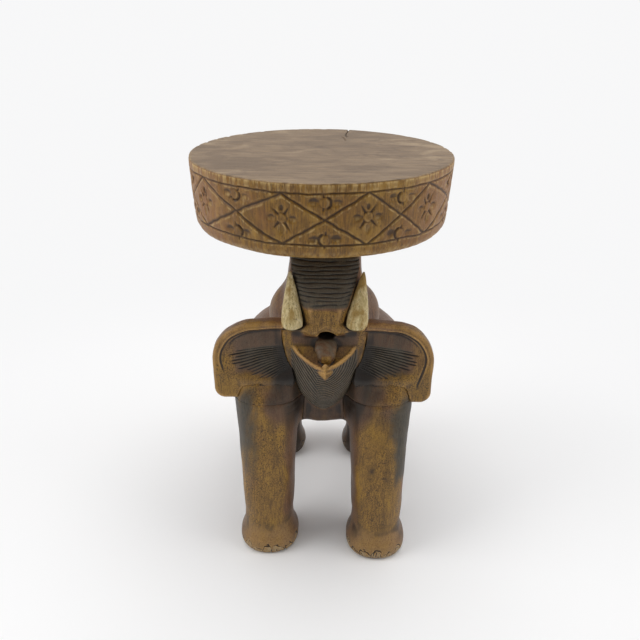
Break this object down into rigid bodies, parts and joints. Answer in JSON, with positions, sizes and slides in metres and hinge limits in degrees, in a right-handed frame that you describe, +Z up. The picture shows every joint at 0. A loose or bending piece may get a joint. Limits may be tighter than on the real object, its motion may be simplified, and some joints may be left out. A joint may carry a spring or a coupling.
{
  "type": "carved elephant stool",
  "caption": "Round carved seat carried on the raised trunk of a standing wooden elephant, with a lozenge and flower rim, combed ears and chin, and pale tusks.",
  "frame": {"origin": "on the floor, on the seat's axis, which is the middle of the bounding box's underside", "axes": "+Z up, -Y the way the elephant looks, +X the elephant's own left"},
  "size_m": [0.2898, 0.2898, 0.46],
  "materials": {
    "seat_wood": "stained and waxed, rubbed top",
    "animal_wood": "stained golden brown with charcoal shading, waxed",
    "tusk_bone": "pale, dull and dirty in the pores",
    "dowel_wood": "bare"
  },
  "bodies": {
    "root": {"seat_drum": "seat_wood", "head_and_trunk": "animal_wood", "torso": "animal_wood", "front_left_leg": "animal_wood", "front_right_leg": "animal_wood", "rear_left_leg": "animal_wood", "rear_right_leg": "animal_wood", "left_ear": "animal_wood", "right_ear": "animal_wood", "left_tusk": "tusk_bone", "right_tusk": "tusk_bone", "seat_dowels": "dowel_wood", "neck_dowels": "dowel_wood", "leg_dowels": "dowel_wood", "ear_dowels": "dowel_wood"}
  },
  "joints": []
}
